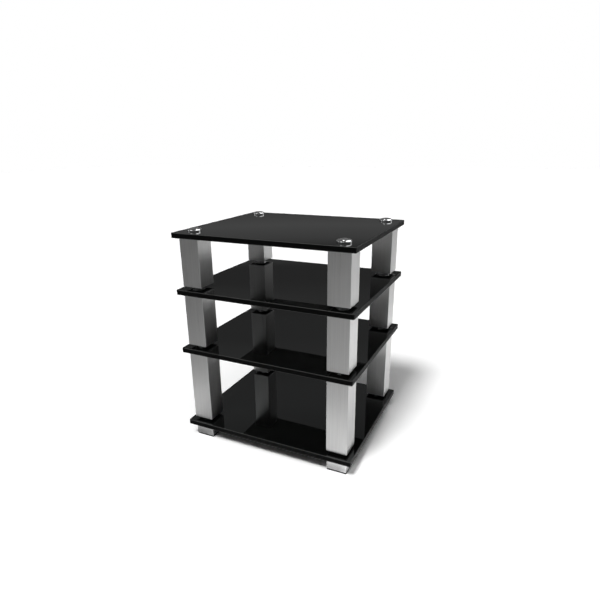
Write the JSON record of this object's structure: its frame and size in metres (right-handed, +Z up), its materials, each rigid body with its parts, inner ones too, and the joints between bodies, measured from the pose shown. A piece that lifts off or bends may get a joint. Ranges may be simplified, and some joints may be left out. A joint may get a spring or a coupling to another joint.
{
  "type": "audio equipment rack",
  "caption": "Open stacking rack with thick black glass shelves on square aluminium pillars that stand on chrome caps.",
  "frame": {"origin": "on the floor, under the middle of the rack, level with the undersides of the foot pads", "axes": "+Z up, +X to the rack's right seen from the front, -Y towards the front of the rack"},
  "size_m": [0.65, 0.55, 0.7923],
  "materials": {
    "black_glass": "polished",
    "pillar_aluminium": "brushed",
    "foot_aluminium": "polished",
    "cap_chrome": "polished",
    "socket_nylon": "matte",
    "pad_rubber": "matte"
  },
  "bodies": {
    "base": {"foot_pad_front_left": "pad_rubber", "foot_pad_front_right": "pad_rubber", "foot_pad_back_left": "pad_rubber", "foot_pad_back_right": "pad_rubber", "foot_front_left": "foot_aluminium", "foot_front_right": "foot_aluminium", "foot_back_left": "foot_aluminium", "foot_back_right": "foot_aluminium", "base_shelf": "black_glass", "base_cap_bolt_front_left": "cap_chrome", "base_cap_bolt_front_right": "cap_chrome", "base_cap_bolt_back_left": "cap_chrome", "base_cap_bolt_back_right": "cap_chrome"},
    "lower_tier": {"lower_pillar_front_left": "pillar_aluminium", "lower_pillar_front_right": "pillar_aluminium", "lower_pillar_back_left": "pillar_aluminium", "lower_pillar_back_right": "pillar_aluminium", "lower_socket_front_left": "socket_nylon", "lower_socket_front_right": "socket_nylon", "lower_socket_back_left": "socket_nylon", "lower_socket_back_right": "socket_nylon", "lower_shelf": "black_glass", "lower_cap_bolt_front_left": "cap_chrome", "lower_cap_bolt_front_right": "cap_chrome", "lower_cap_bolt_back_left": "cap_chrome", "lower_cap_bolt_back_right": "cap_chrome"},
    "middle_tier": {"middle_pillar_front_left": "pillar_aluminium", "middle_pillar_front_right": "pillar_aluminium", "middle_pillar_back_left": "pillar_aluminium", "middle_pillar_back_right": "pillar_aluminium", "middle_socket_front_left": "socket_nylon", "middle_socket_front_right": "socket_nylon", "middle_socket_back_left": "socket_nylon", "middle_socket_back_right": "socket_nylon", "middle_shelf": "black_glass", "middle_cap_bolt_front_left": "cap_chrome", "middle_cap_bolt_front_right": "cap_chrome", "middle_cap_bolt_back_left": "cap_chrome", "middle_cap_bolt_back_right": "cap_chrome"},
    "top_tier": {"top_pillar_front_left": "pillar_aluminium", "top_pillar_front_right": "pillar_aluminium", "top_pillar_back_left": "pillar_aluminium", "top_pillar_back_right": "pillar_aluminium", "top_socket_front_left": "socket_nylon", "top_socket_front_right": "socket_nylon", "top_socket_back_left": "socket_nylon", "top_socket_back_right": "socket_nylon", "top_shelf": "black_glass", "top_cap_bolt_front_left": "cap_chrome", "top_cap_bolt_front_right": "cap_chrome", "top_cap_bolt_back_left": "cap_chrome", "top_cap_bolt_back_right": "cap_chrome"}
  },
  "joints": [
    {"name": "lower_tier_lift", "type": "slide", "parent": "base", "child": "lower_tier", "axis": [0, 0, 1], "range_m": [0, 0.06]},
    {"name": "middle_tier_lift", "type": "slide", "parent": "lower_tier", "child": "middle_tier", "axis": [0, 0, 1], "range_m": [0, 0.06]},
    {"name": "top_tier_lift", "type": "slide", "parent": "middle_tier", "child": "top_tier", "axis": [0, 0, 1], "range_m": [0, 0.06]}
  ]
}
